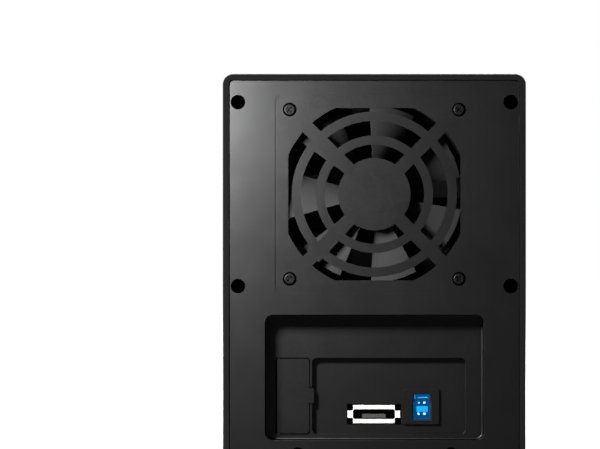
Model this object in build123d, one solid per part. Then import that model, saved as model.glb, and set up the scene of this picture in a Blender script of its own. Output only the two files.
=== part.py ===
"""Storage tower with four drive bays, a rear fan and a recessed port bay.

The frame is in millimetres: +Z up, the front faces -Y and the rear faces +Y, so that seen from
behind +X is on the left. The origin is at the bottom centre, on the surface that the feet stand on.
"""
import os
from math import radians, tan

from build123d import *

os.makedirs("parts", exist_ok=True)

# ---------------------------------------------------------------- driving dimensions
WIDTH = 128.0
BODY_HEIGHT = 167.0
DEPTH = 214.0
FOOT_HEIGHT = 4.0
WALL = 2.6  # the sleeve's thickness
CORNER = 4.4  # the sleeve's outer corner radius
BEZEL_DEPTH = 13.0

FAN_SIZE = 80.0
FAN_DEPTH = 25.0
FAN_SCREW_PITCH = 71.5
FAN_BELOW_TOP = 50.8  # from the body's top to the fan's axis

BAYS = 4
BAY_PITCH = 31.0
DRIVE_WIDTH, DRIVE_LENGTH, DRIVE_HEIGHT = 101.6, 147.0, 26.1

RECESS_WIDTH, RECESS_HEIGHT, RECESS_DEPTH = 92.4, 53.0, 8.0
RECESS_CORNER = 3.3
RECESS_BELOW_TOP = 101.75

GAP = 0.4  # clearance between pieces that move past each other
FIT = 0.15  # clearance between pieces that are fixed together

# ---------------------------------------------------------------- places worked out from them
REAR, FRONT = DEPTH / 2, -DEPTH / 2
BASE = FOOT_HEIGHT
TOP = BASE + BODY_HEIGHT
MID = (BASE + TOP) / 2
INNER_WIDTH, INNER_HEIGHT = WIDTH - 2 * WALL, BODY_HEIGHT - 2 * WALL
SLEEVE_FRONT = FRONT + BEZEL_DEPTH

PANEL_LIP = REAR - 0.4  # the top of the panel's narrow sloping border
PANEL_FACE = REAR - 0.6
PANEL_BACK = PANEL_FACE - 2.5
PAD_FACE = PANEL_FACE - 0.3  # the shallow square in which the fan grille lies
PAD_SIZE, PAD_CORNER = 84.0, 2.5
FAN_Z = TOP - FAN_BELOW_TOP
FAN_REAR = PANEL_BACK
FAN_FRONT = FAN_REAR - FAN_DEPTH

RECESS_TOP = TOP - RECESS_BELOW_TOP
RECESS_BOTTOM = RECESS_TOP - RECESS_HEIGHT
RECESS_MID = (RECESS_TOP + RECESS_BOTTOM) / 2
RECESS_FLOOR = PANEL_FACE - RECESS_DEPTH
BRACKET_FACE = RECESS_FLOOR - 2.5  # the connectors' plate lies behind the floor

# The window onto the connectors, and the flap beside it, as (low x, high x, low z, high z).
WINDOW = (-38.7, 26.2, RECESS_BOTTOM + 2.3, RECESS_TOP - 18.5)
POCKET = (27.1, 41.9, RECESS_BOTTOM + 2.1, RECESS_TOP - 18.3)
POCKET_FLOOR = RECESS_FLOOR - 8.0
BRACKET_SCREWS = [(x, RECESS_TOP - 13.0) for x in (-38.0, 20.0)]
HINGE_X, HINGE_Y, HINGE_R = 40.5, RECESS_FLOOR - 1.05, 1.05
TAB_Z = (31.7, 38.0)

PANEL_SCREWS = [(x, TOP - drop) for x in (-57.6, 57.6) for drop in (11.9, 89.6)]
PANEL_SCREWS += [(x, BASE + 6.2) for x in (-32.4, 32.4)]
SCREW_WELL_R, SCREW_SEAT = 3.1, 1.2  # the deep holes round those screws, and what is left at their ends
BOSS_R = 4.4
BOSS_END = PANEL_BACK - 12.0
FAN_SCREWS = [
    (x * FAN_SCREW_PITCH / 2, FAN_Z + z * FAN_SCREW_PITCH / 2) for x in (-1, 1) for z in (-1, 1)
]
FAN_SCREW_SEAT = PAD_FACE - 1.4
FAN_SCREW_WELL_R, FAN_SCREW_HEAD_R, FAN_SCREW_R = 2.95, 2.4, 2.0
DUCT_R = 40.2
HUB_R = 14.5

BLADES = 7
BLADE_HALF_ANGLE = 15.2
BLADE_ROOT, BLADE_TIP = HUB_R - 0.6, 37.3
BLADE_NEAR, BLADE_FAR = 4.6, 14.5  # from the fan's rear face to the blades' two edges
BLADE_CAMBER, BLADE_THICK = 1.6, 1.3
FIRST_BLADE = 153.7  # degrees from +X towards +Z

BOARD_TOP = BASE + 18.6
BOARD_THICK = 1.6
STANDOFFS = [(x, y) for x in (-45.0, 45.0) for y in (-70.0, 70.0)]
ESATA_Z = BOARD_TOP + 4.3
USB_X, USB_Z = -19.75, BOARD_TOP + 7.5
USB_SIZE = (15.5, 14.8)

CAGE_HALF = 53.5  # half the clear width between the cage's walls
SHEET = 1.0
BASE_SHEET = (BASE + WALL + 0.2, BASE + WALL + 0.2 + SHEET)
BAY_ONE = 41.0  # the lowest bay's ledge
CAGE_TOP = BAY_ONE + BAYS * BAY_PITCH + 0.8
LEDGE = 1.2
CAGE_FRONT = SLEEVE_FRONT + 1.0
DRIVE_FRONT = FRONT + 15.5
DRIVE_REAR = DRIVE_FRONT + DRIVE_LENGTH
SIDE_HOLES = (28.5, 130.1)  # the drives' side screws, from their rear end
BACKPLANE = DRIVE_REAR + 4.5

OPENING_HALF = 56.0  # the bezel's opening for the trays
OPENING_LOW, OPENING_HIGH = BAY_ONE, BAY_ONE + BAYS * BAY_PITCH
TRAY_FACE = FRONT + 1.6
LEVER_R = 3.4  # the knuckle's radius
LEVER_X, LEVER_Y = -52.0, TRAY_FACE + LEVER_R
TRAY_PLATE = LEVER_Y + LEVER_R + GAP
TRAY_BACK = SLEEVE_FRONT - 0.4
LEVER_END = 41.0
RELEASE_X, RELEASE_HALF = 48.5, 4.0

FASCIA_Z, FASCIA_HEIGHT = 22.5, 20.0
FASCIA_FACE = FRONT + 0.4
POWER_X, POWER_R = 43.0, 6.0
SPEED_X, SPEED_R = 26.0, 4.0
LAMPS = [(-46.0 + 6.0 * n, FASCIA_Z) for n in range(BAYS + 2)]
PRESS = 1.0  # how far the front buttons travel
FRONT_BOARD = SLEEVE_FRONT  # its back face


# ---------------------------------------------------------------- shapes
def block(x, y, z):
    """A box between three (low, high) pairs."""
    size = [pair[1] - pair[0] for pair in (x, y, z)]
    middle = [(pair[1] + pair[0]) / 2 for pair in (x, y, z)]
    return Pos(*middle) * Box(*size)


def along_y(sketch, low, high):
    """A sketch drawn in X and Z, extruded between two depths."""
    plane = Plane(origin=(0, high, 0), x_dir=(1, 0, 0), z_dir=(0, -1, 0))
    return extrude(plane * sketch, amount=high - low)


def along_z(sketch, low, high):
    """A sketch drawn in X and Y, extruded between two heights."""
    return extrude(Plane.XY.offset(low) * sketch, amount=high - low)


def rod_y(x, z, radius, low, high):
    return along_y(Pos(x, z) * Circle(radius), low, high)


def rod_z(x, y, radius, low, high):
    return along_z(Pos(x, y) * Circle(radius), low, high)


def rounded(width, height, radius, x=0.0, z=0.0):
    return Pos(x, z) * RectangleRounded(width, height, radius)


def rounded_span(x_low, x_high, z_low, z_high, radius):
    return rounded(x_high - x_low, z_high - z_low, radius, (x_low + x_high) / 2, (z_low + z_high) / 2)


def edges_at_depth(shape, y, half_width, z_low, z_high, centre_x=0.0):
    """The edges lying wholly at one depth, inside a rectangle in X and Z."""

    def inside(edge):
        box = edge.bounding_box()
        return (
            abs(box.min.Y - y) < 1e-3
            and abs(box.max.Y - y) < 1e-3
            and abs(box.min.X - centre_x) < half_width
            and abs(box.max.X - centre_x) < half_width
            and box.min.Z > z_low
            and box.max.Z < z_high
        )

    return shape.edges().filter_by(inside)


def cross_recess(x, z, face, size, depth):
    """The cut for a cross-head driver in a screw whose head faces +Y."""
    slot = Rectangle(size, size * 0.24) + Rectangle(size * 0.24, size)
    return along_y(Pos(x, z) * (Rot(0, 0, 45) * slot), face - depth, face + 0.5)


def screw_y(x, z, seat, head_radius, head_height, shank_radius, length):
    """A pan-head screw pointing to -Y, with its head resting on a seat."""
    head = rod_y(x, z, head_radius, seat, seat + head_height)
    top = head.edges().filter_by(lambda e: abs(e.bounding_box().min.Y - seat - head_height) < 1e-3)
    head = fillet(top, head_height * 0.55)
    shank = rod_y(x, z, shank_radius, seat - length, seat)
    return head + shank - cross_recess(x, z, seat + head_height, head_radius * 1.15, head_height * 0.6)


# ---------------------------------------------------------------- casing
def outer_sleeve():
    tube = along_y(rounded(WIDTH, BODY_HEIGHT, CORNER, 0, MID), SLEEVE_FRONT, REAR)
    tube -= along_y(rounded(INNER_WIDTH, INNER_HEIGHT, CORNER - WALL, 0, MID), SLEEVE_FRONT, REAR)
    rear = tube.edges().filter_by(lambda e: abs(e.bounding_box().min.Y - REAR) < 1e-3)
    outer = [e for e in rear if max(abs(e.center().X), abs(e.center().Z - MID) - 19.5) > 62.5]
    return fillet(outer, 0.5)


def rear_panel():
    width, height = INNER_WIDTH - 2 * FIT, INNER_HEIGHT - 2 * FIT
    outline = rounded(width, height, CORNER - WALL, 0, MID)
    panel = along_y(outline, PANEL_BACK, PANEL_LIP)
    slope = PANEL_LIP - PANEL_FACE
    sections = [
        Plane(origin=(0, y, 0), x_dir=(1, 0, 0), z_dir=(0, -1, 0))
        * rounded(width - 2 * inset, height - 2 * inset, CORNER - WALL - inset * 0.5, 0, MID)
        for y, inset in ((PANEL_LIP, 0.05), (PANEL_FACE, slope + 0.05))
    ]
    panel -= loft(sections)
    for x, z in PANEL_SCREWS:
        panel += rod_y(x, z, BOSS_R, BOSS_END, PANEL_BACK) & along_y(outline, BOSS_END, PANEL_BACK)
    panel -= along_y(
        rounded(RECESS_WIDTH, RECESS_HEIGHT, RECESS_CORNER, 0, RECESS_MID), PANEL_BACK, PANEL_LIP
    )
    rim = edges_at_depth(panel, PANEL_FACE, 47.0, RECESS_BOTTOM - 1, RECESS_TOP + 1)
    panel = fillet(rim, 0.12)
    panel -= along_y(rounded(PAD_SIZE, PAD_SIZE, PAD_CORNER, 0, FAN_Z), PAD_FACE, PANEL_FACE)
    panel -= along_y(Pos(0, FAN_Z) * grille_openings(), PANEL_BACK, PAD_FACE)
    for x, z in PANEL_SCREWS:
        panel -= rod_y(x, z, SCREW_WELL_R, BOSS_END + SCREW_SEAT, PANEL_LIP)
        panel -= rod_y(x, z, 1.7, BOSS_END, BOSS_END + SCREW_SEAT)
    for x, z in FAN_SCREWS:
        panel -= rod_y(x, z, FAN_SCREW_WELL_R, FAN_SCREW_SEAT, PAD_FACE)
        panel -= rod_y(x, z, FAN_SCREW_R + 0.1, PANEL_BACK, FAN_SCREW_SEAT)
    return panel


def grille_openings():
    """The air gaps of the fan grille: a square with its corners cut by a circle, less the bars."""
    gaps = Circle(40.0) & Rectangle(72.8, 72.8)
    gaps -= Circle(15.3)
    for inner, outer in ((21.0, 24.8), (31.0, 34.9)):
        gaps -= Circle(outer) - Circle(inner)
    for angle in (45, -45):
        gaps -= Rot(0, 0, angle) * Rectangle(120.0, 5.5)
    return gaps


def port_tub():
    """The recessed bay: walls, a floor with the connectors' window, and a pocket behind the flap."""
    inner = rounded(RECESS_WIDTH, RECESS_HEIGHT, RECESS_CORNER, 0, RECESS_MID)
    outer = rounded(RECESS_WIDTH + 3.0, RECESS_HEIGHT + 3.0, RECESS_CORNER + 1.5, 0, RECESS_MID)
    hollow = along_y(inner, RECESS_FLOOR, PANEL_BACK)
    foot = hollow.edges().filter_by(lambda e: abs(e.bounding_box().max.Y - RECESS_FLOOR) < 1e-3)
    tub = along_y(outer, BRACKET_FACE, PANEL_BACK) - fillet(foot, 0.8)
    x_low, x_high, z_low, z_high = POCKET
    tub += along_y(
        rounded_span(WINDOW[1], x_high + 1.2, z_low - 1.2, z_high + 1.2, 1.0),
        POCKET_FLOOR - 1.2,
        BRACKET_FACE,
    )
    tub -= along_y(rounded_span(*WINDOW, 1.9), BRACKET_FACE, RECESS_FLOOR)
    tub -= along_y(rounded_span(x_low, x_high, z_low, z_high, 1.5), POCKET_FLOOR, RECESS_FLOOR)
    window_x = (WINDOW[0] + WINDOW[1]) / 2
    lip = edges_at_depth(tub, RECESS_FLOOR, 33.0, WINDOW[2] - 0.2, WINDOW[3] + 0.2, window_x)
    tub = fillet(lip, 0.15)
    tub -= block((WINDOW[1] - 0.5, x_low + 0.5), (RECESS_FLOOR - 1.2, RECESS_FLOOR + 1), (31.3, 38.4))
    tub -= block((30.2, 39.4), (POCKET_FLOOR - 1.2, POCKET_FLOOR), (BOARD_TOP - 0.1, BOARD_TOP + 11.2))
    tub -= rod_z(HINGE_X, HINGE_Y, 0.62, z_low - 0.8, z_high + 0.8)
    for x, z in BRACKET_SCREWS:
        tub -= rod_y(x, z, 1.05, BRACKET_FACE, BRACKET_FACE + 1.4)
    return tub


def port_flap():
    x_low, _, z_low, z_high = POCKET
    low, high = z_low + 0.5, z_high - 0.5
    plate = along_y(
        rounded_span(x_low + GAP, HINGE_X + 2, low, high, 1.5), RECESS_FLOOR - 1.5, RECESS_FLOOR
    )
    plate &= block((0, HINGE_X), (RECESS_FLOOR - 2, RECESS_FLOOR + 1), (low, high))
    flap = plate + rod_z(HINGE_X, HINGE_Y, HINGE_R, low, high)
    flap += along_y(
        rounded_span(WINDOW[1] - 0.7, x_low + 2.0, *TAB_Z, 0.5), RECESS_FLOOR - 0.9, RECESS_FLOOR + 0.12
    )
    return flap - rod_z(HINGE_X, HINGE_Y, 0.66, low, high)


def flap_pin():
    return rod_z(HINGE_X, HINGE_Y, 0.6, POCKET[2] - 0.7, POCKET[3] + 0.7)


def front_bezel():
    body = along_y(rounded(WIDTH, BODY_HEIGHT, CORNER, 0, MID), FRONT, SLEEVE_FRONT)
    nose = body.edges().filter_by(lambda e: abs(e.bounding_box().max.Y - FRONT) < 1e-3)
    body = fillet(nose, 2.0)
    body -= along_y(
        rounded(INNER_WIDTH - 3.2, INNER_HEIGHT - 3.2, 1.0, 0, MID), FRONT + 3.5, SLEEVE_FRONT
    )
    collar = rounded(INNER_WIDTH - 2 * FIT, INNER_HEIGHT - 2 * FIT, CORNER - WALL, 0, MID)
    collar -= rounded(INNER_WIDTH - 3.2, INNER_HEIGHT - 3.2, 1.0, 0, MID)
    body += along_y(collar, SLEEVE_FRONT - 1, SLEEVE_FRONT + 5)
    body += along_y(
        rounded_span(
            -OPENING_HALF - 1.5, OPENING_HALF + 1.5, OPENING_LOW - 1.5, OPENING_HIGH + 1.5, 1.5
        ),
        FRONT + 3,
        SLEEVE_FRONT,
    )
    body -= along_y(
        rounded_span(-OPENING_HALF, OPENING_HALF, OPENING_LOW, OPENING_HIGH, 1.0), FRONT, SLEEVE_FRONT
    )
    body -= along_y(
        rounded(112.0 + 2 * FIT, FASCIA_HEIGHT + 2 * FIT, 3.0, 0, FASCIA_Z), FRONT, FRONT + 1.6
    )
    body -= rod_y(POWER_X, FASCIA_Z, POWER_R + GAP, FRONT, FRONT + 4)
    body -= rod_y(SPEED_X, FASCIA_Z, SPEED_R + GAP, FRONT, FRONT + 4)
    for x, z in LAMPS:
        body -= rod_y(x, z, 1.3, FRONT, FRONT + 4)
    return body


def control_fascia():
    plate = along_y(rounded(112.0, FASCIA_HEIGHT, 3.0 - FIT, 0, FASCIA_Z), FASCIA_FACE, FRONT + 1.6)
    plate -= rod_y(POWER_X, FASCIA_Z, POWER_R + GAP, FRONT, FRONT + 2)
    plate -= rod_y(SPEED_X, FASCIA_Z, SPEED_R + GAP, FRONT, FRONT + 2)
    for x, z in LAMPS:
        plate -= rod_y(x, z, 1.3, FRONT, FRONT + 2)
    return plate


def push_button(x, radius):
    """A cap with a rim behind the bezel's wall, and a stem that reaches for its switch."""
    cap = rod_y(x, FASCIA_Z, radius, FRONT + 0.2, FRONT + 4)
    face = cap.edges().filter_by(lambda e: abs(e.bounding_box().max.Y - FRONT - 0.2) < 1e-3)
    cap = fillet(face, 0.6)
    rim = rod_y(x, FASCIA_Z, radius + 1.3, FRONT + 3.8, FRONT + 4.8)
    stem = rod_y(x, FASCIA_Z, 1.8, FRONT + 4.8, FRONT + 5.7)
    return cap + rim + stem


def status_lenses():
    return [rod_y(x, z, 1.2, FASCIA_FACE + 0.1, FRONT_BOARD - 3.0) for x, z in LAMPS]


def rubber_feet():
    feet = []
    for x in (-48.0, 48.0):
        for y in (-80.0, 84.0):
            foot = rod_z(x, y, 7.5, 0, FOOT_HEIGHT)
            floor = foot.edges().filter_by(lambda e: abs(e.bounding_box().max.Z) < 1e-3)
            feet.append(chamfer(floor, 0.8))
    return feet


# ---------------------------------------------------------------- connectors and boards
def io_bracket():
    plate = along_y(
        rounded_span(-43.0, WINDOW[1] - 0.1, RECESS_BOTTOM - 0.5, RECESS_TOP - 10.5, 1.0),
        BRACKET_FACE - 0.8,
        BRACKET_FACE,
    )
    plate -= along_y(Pos(0, ESATA_Z) * Rectangle(22.9, 8.8), BRACKET_FACE - 1, BRACKET_FACE)
    plate -= along_y(
        Pos(USB_X, USB_Z) * Rectangle(USB_SIZE[0] + 0.2, USB_SIZE[1] + 0.2),
        BRACKET_FACE - 1,
        BRACKET_FACE,
    )
    for x, z in BRACKET_SCREWS:
        plate -= rod_y(x, z, 1.2, BRACKET_FACE - 1, BRACKET_FACE)
    return plate


def bracket_screws():
    """Two short screws from inside the case, through the bracket into the tub's floor."""
    screws = []
    for x, z in BRACKET_SCREWS:
        head = rod_y(x, z, 2.0, BRACKET_FACE - 2.0, BRACKET_FACE - 0.8)
        screws.append(head + rod_y(x, z, 1.0, BRACKET_FACE - 0.8, BRACKET_FACE + 1.2))
    return screws


def socket_outline(width, height, corner):
    """A rectangle with its corners cut, as a stamped connector shell has."""
    return chamfer(Rectangle(width, height).vertices(), corner)


def esata_shell():
    """The stamped shell: a tube with four flared flanges whose corners are open."""
    flare = Rectangle(17.7, 7.7) + Rectangle(22.3, 3.1)
    tube = socket_outline(18.6, 4.9, 0.9)
    hole = socket_outline(17.9, 4.2, 0.7)
    shell = along_y(Pos(0, ESATA_Z) * flare, BRACKET_FACE - 0.45, BRACKET_FACE - 0.05)
    shell += along_y(Pos(0, ESATA_Z) * tube, BRACKET_FACE - 12.0, BRACKET_FACE - 0.4)
    return shell - along_y(Pos(0, ESATA_Z) * hole, BRACKET_FACE - 12.0, BRACKET_FACE)


def esata_core():
    core = along_y(
        Pos(0, ESATA_Z) * socket_outline(17.8, 4.1, 0.7), BRACKET_FACE - 12.0, BRACKET_FACE - 8.0
    )
    tongue = block((-4.95, 4.95), (BRACKET_FACE - 8.5, BRACKET_FACE - 0.9), (ESATA_Z - 1.6, ESATA_Z + 0.05))
    return core + tongue


def usb_outline(inset=0.0):
    """The two-step mouth: a wide lower part and a narrower upper one."""
    lower = Pos(USB_X - 0.5, USB_Z - 1.6) * Rectangle(8.2 - 2 * inset, 8.4 - 2 * inset)
    upper = Pos(USB_X - 0.5, USB_Z + 2.4) * Rectangle(7.1 - 2 * inset, 7.0 - 2 * inset)
    return lower + upper


def usb_housing():
    width, height = USB_SIZE
    body = along_y(rounded(width, height, 0.5, USB_X, USB_Z), BRACKET_FACE - 17.0, BRACKET_FACE + 0.9)
    return body - along_y(usb_outline(), BRACKET_FACE - 10.0, BRACKET_FACE + 0.9)


def usb_insert():
    """The coloured liner of the mouth, its back wall and the two tongues."""
    back, mouth = BRACKET_FACE - 10.0, BRACKET_FACE + 0.5
    liner = along_y(usb_outline(0.02), back, mouth) - along_y(usb_outline(0.75), mouth - 4.0, mouth)
    x = USB_X - 0.4
    liner += block((x - 2.7, x + 2.7), (back + 1, mouth - 1.0), (USB_Z - 2.3, USB_Z + 0.2))
    liner += block((x - 2.6, x + 2.6), (back + 1, mouth - 1.0), (USB_Z + 3.6, USB_Z + 4.8))
    return liner


def connector_contacts():
    """Contact blades: seven on the one tongue, and two above and two below the other."""
    blades = []
    for n in range(7):
        x = (n - 3) * 1.27
        blades.append(
            block(
                (x - 0.3, x + 0.3),
                (BRACKET_FACE - 7.9, BRACKET_FACE - 1.2),
                (ESATA_Z + 0.05, ESATA_Z + 0.17),
            )
        )
    for dx in (-1.25, 1.25):
        for z in (USB_Z + 1.2, USB_Z - 3.5):
            x = USB_X - 0.4 + dx
            blades.append(
                block((x - 0.45, x + 0.45), (BRACKET_FACE - 3.5, BRACKET_FACE - 0.8), (z, z + 0.9))
            )
    return blades


def power_jack():
    """The low-voltage inlet: a moulded body with a round mouth and a centre pin."""
    x, z = 34.8, BOARD_TOP + 5.7
    face = POCKET_FLOOR
    body = block((30.3, 39.3), (face - 14.0, face), (BOARD_TOP, BOARD_TOP + 11.0))
    body -= rod_y(x, z, 3.1, face - 10.0, face)
    return body + rod_y(x, z, 1.05, face - 10.5, face - 0.8)


def main_board():
    board = block((-50, 50), (-80.0, BRACKET_FACE - 0.9), (BOARD_TOP - BOARD_THICK, BOARD_TOP))
    board -= block((24.5, 51), (POCKET_FLOOR - 1.5, REAR), (BOARD_TOP - 3, BOARD_TOP + 1))
    for x, y in STANDOFFS:
        board -= rod_z(x, y, 1.6, BOARD_TOP - 3, BOARD_TOP + 1)
    return board


def board_standoffs():
    """Hexagonal posts between the base plate and the main board."""
    posts = []
    for x, y in STANDOFFS:
        post = along_z(Pos(x, y) * RegularPolygon(2.9, 6), BASE_SHEET[1], BOARD_TOP - BOARD_THICK)
        posts.append(post)
    return posts


def board_screws():
    screws = []
    for x, y in STANDOFFS:
        head = rod_z(x, y, 2.7, BOARD_TOP, BOARD_TOP + 1.8)
        top = head.edges().filter_by(lambda e: abs(e.bounding_box().min.Z - BOARD_TOP - 1.8) < 1e-3)
        screws.append(fillet(top, 0.8) + rod_z(x, y, 1.5, BOARD_TOP - BOARD_THICK, BOARD_TOP))
    return screws


def board_parts():
    """The bridge chip, its heat sink, regulators, capacitors and headers on the main board."""
    z = BOARD_TOP
    sink = block((-14, 14), (4, 32), (z + 1.6, z + 4.0))
    for n in range(7):
        x = -13.0 + n * 4.0
        sink += block((x, x + 2.0), (4, 32), (z + 4.0, z + 11.0))
    parts = [block((-11, 11), (7, 29), (z, z + 1.6)), sink]
    parts += [rod_z(x, y, 4.0, z, z + 10.5) for x, y in ((10, 68), (20, 68), (10, 78), (20, 78))]
    parts += [block((x, x + 9), (-30, -21), (z, z + 1.4)) for x in (-40, -22, 12, 30)]
    parts += [block((x, x + 10), (-60, -50), (z, z + 4.2)) for x in (-35, -15, 20)]
    parts.append(block((-24, 24), (BACKPLANE - 4.0, BACKPLANE + 2.6), (z, z + 1.4)))
    parts.append(block((-40, -30), (66, 72), (z, z + 6.0)))
    parts.append(block((-8, 8), (-79, -74), (z, z + 3.0)))
    return parts


def backplane_board():
    board = block((-50, 50), (BACKPLANE, BACKPLANE + BOARD_THICK), (BOARD_TOP + 1.4, CAGE_TOP - 2))
    for n in range(BAYS):
        z = BAY_ONE + n * BAY_PITCH + 16.0
        for x in (-31.0, 0.0, 31.0):
            slot = rounded(18.0, 10.0, 2.0, x, z + 5)
            board -= along_y(slot, BACKPLANE - 1, BACKPLANE + 3)
    return board


def bay_z(n):
    """The underside of tray n."""
    return BAY_ONE + n * BAY_PITCH + LEDGE + 0.3


def backplane_sockets():
    sockets = []
    for n in range(BAYS):
        z = bay_z(n) + 1.2
        body = block((-32.0, 6.0), (DRIVE_REAR - 5.0, BACKPLANE), (z + 1.6, z + 6.6))
        body -= block((-30.0, 4.0), (DRIVE_REAR - 6.0, BACKPLANE - 3.0), (z + 3.0, z + 5.2))
        sockets.append(body)
    return sockets


def front_board():
    return block((-52, 52), (FRONT_BOARD - 1.6, FRONT_BOARD), (10.0, 35.0))


def tact_switches():
    switches = []
    for x in (POWER_X, SPEED_X):
        body = block((x - 3, x + 3), (FRONT_BOARD - 5.1, FRONT_BOARD - 1.6), (FASCIA_Z - 3, FASCIA_Z + 3))
        switches.append(body + rod_y(x, FASCIA_Z, 1.7, FRONT_BOARD - 6.1, FRONT_BOARD - 5.1))
    return switches


def status_lamps():
    return [
        block((x - 0.9, x + 0.9), (FRONT_BOARD - 2.8, FRONT_BOARD - 1.6), (z - 0.6, z + 0.6))
        for x, z in LAMPS
    ]


def panel_ribbon():
    """The flat cable from the front board's back to the main board's front header."""
    z = BOARD_TOP + 1.5
    line = FilletPolyline(
        (0, FRONT_BOARD, z + 5),
        (0, FRONT_BOARD + 7, z + 5),
        (0, FRONT_BOARD + 9, z),
        (0, -79, z),
        radius=1.5,
    )
    profile = Plane(origin=line @ 0, x_dir=(1, 0, 0), z_dir=line % 0) * Rectangle(12.0, 0.5)
    return sweep(profile, path=line)


def fan_lead():
    """The fan's lead, from its frame down behind the backplane to a header on the main board."""
    x, y = -35.0, FAN_FRONT - 7.0
    header = BOARD_TOP + 6.0
    line = FilletPolyline(
        (x + 5, FAN_FRONT, 92),
        (x + 5, y, 92),
        (x + 1, y - 1, 74),
        (x - 1, y - 2, 56),
        (x, y - 2, 40),
        (x, y - 2, header),
        radius=[3.0, 18.0, 22.0, 30.0],
    )
    profile = Plane(origin=line @ 0, z_dir=line % 0) * Circle(1.2)
    return sweep(profile, path=line)


# ---------------------------------------------------------------- fan
def fan_frame():
    square = rounded(FAN_SIZE, FAN_SIZE, 4.0, 0, FAN_Z)
    frame = along_y(square, FAN_FRONT, FAN_REAR)
    waist = Rectangle(FAN_SIZE + 2, FAN_SIZE + 2) - Circle(41.4)
    frame -= along_y(Pos(0, FAN_Z) * waist, FAN_FRONT + 3.5, FAN_REAR - 3.5)
    duct = Circle(DUCT_R) & Rectangle(FAN_SIZE - 1.8, FAN_SIZE - 1.8)
    frame -= along_y(Pos(0, FAN_Z) * duct, FAN_FRONT, FAN_REAR)
    for x, z in FAN_SCREWS:
        frame -= rod_y(x, z, 2.15, FAN_FRONT, FAN_REAR)
    spider = Circle(HUB_R)
    for angle in (45, -45):
        spider += Rot(0, 0, angle) * Rectangle(2 * DUCT_R + 1.2, 3.4)
    frame += along_y(Pos(0, FAN_Z) * spider, FAN_REAR - 2.8, FAN_REAR - 0.3)
    frame += rod_y(0, FAN_Z, 4.0, FAN_REAR - 16.0, FAN_REAR - 2.5)
    return frame - rod_y(0, FAN_Z, 1.55, FAN_REAR - 16.0, FAN_REAR - 4.0)


def blade_section(radius):
    """A thin cambered section: its near edge is by the grille and its far edge deeper."""
    half = radius * tan(radians(BLADE_HALF_ANGLE))
    near, far = FAN_REAR - BLADE_NEAR, FAN_REAR - BLADE_FAR + 0.06 * radius
    plane = Plane(origin=(radius, 0, 0), x_dir=(0, 0, 1), z_dir=(1, 0, 0))
    crown = -(near + far) / 2 - BLADE_CAMBER
    outer = ThreePointArc((-half, -near), (0, crown), (half, -far))
    inner = ThreePointArc(
        (half, -far + BLADE_THICK), (0, crown + BLADE_THICK), (-half, -near + BLADE_THICK)
    )
    ends = [Line(outer @ 1, inner @ 0), Line(inner @ 1, outer @ 0)]
    return plane * make_face([outer, ends[0], inner, ends[1]])


def fan_rotor():
    cup = rod_y(0, 0, HUB_R, FAN_FRONT + 1.0, FAN_REAR - 3.7)
    nose = cup.edges().filter_by(lambda e: abs(e.bounding_box().max.Y - FAN_FRONT - 1.0) < 1e-3)
    cup = fillet(nose, 1.5)
    blade = loft([blade_section(r) for r in (BLADE_ROOT, 22.0, 30.0, BLADE_TIP + 1.7)])
    blade &= rod_y(0, 0, BLADE_TIP, FAN_FRONT, FAN_REAR)
    rotor = cup
    for n in range(BLADES):
        rotor += Rot(0, -(FIRST_BLADE + n * 360 / BLADES), 0) * blade
    rotor -= rod_y(0, 0, 13.2, FAN_FRONT + 3.0, FAN_REAR)
    rotor += rod_y(0, 0, 3.0, FAN_FRONT + 2.5, FAN_REAR - 16.6)
    rotor -= rod_y(0, 0, 1.5, FAN_FRONT + 3.0, FAN_REAR)
    return Pos(0, 0, FAN_Z) * rotor


def fan_shaft():
    return rod_y(0, FAN_Z, 1.5, FAN_FRONT + 3.0, FAN_REAR - 4.6)


def fan_stator():
    """Laminations with four poles, round the frame's bearing tube."""
    core = Circle(12.2) - Circle(4.05)
    for angle in (0, 90, 180, 270):
        core -= Rot(0, 0, angle + 45) * (Pos(9.5, 0) * Rectangle(8.0, 3.0))
    return along_y(Pos(0, FAN_Z) * core, FAN_REAR - 14.5, FAN_REAR - 5.0)


def fan_screws():
    return [
        screw_y(x, z, FAN_SCREW_SEAT, FAN_SCREW_HEAD_R, 1.1, FAN_SCREW_R, 9.5) for x, z in FAN_SCREWS
    ]


def panel_screws():
    return [screw_y(x, z, BOSS_END + SCREW_SEAT, 2.8, 1.8, 1.45, 7.0) for x, z in PANEL_SCREWS]


# ---------------------------------------------------------------- chassis
def base_plate():
    """The sheet that carries the main board, folded up at the rear to take two screws."""
    plate = block((-60.2, 60.2), (SLEEVE_FRONT + 6.5, BOSS_END), BASE_SHEET)
    plate += block((-45, 45), (BOSS_END - SHEET, BOSS_END), (BASE_SHEET[0], BASE + 10.6))
    for x, z in PANEL_SCREWS[4:]:
        plate -= rod_y(x, z, 1.6, BOSS_END - 2, BOSS_END)
    return plate


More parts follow.
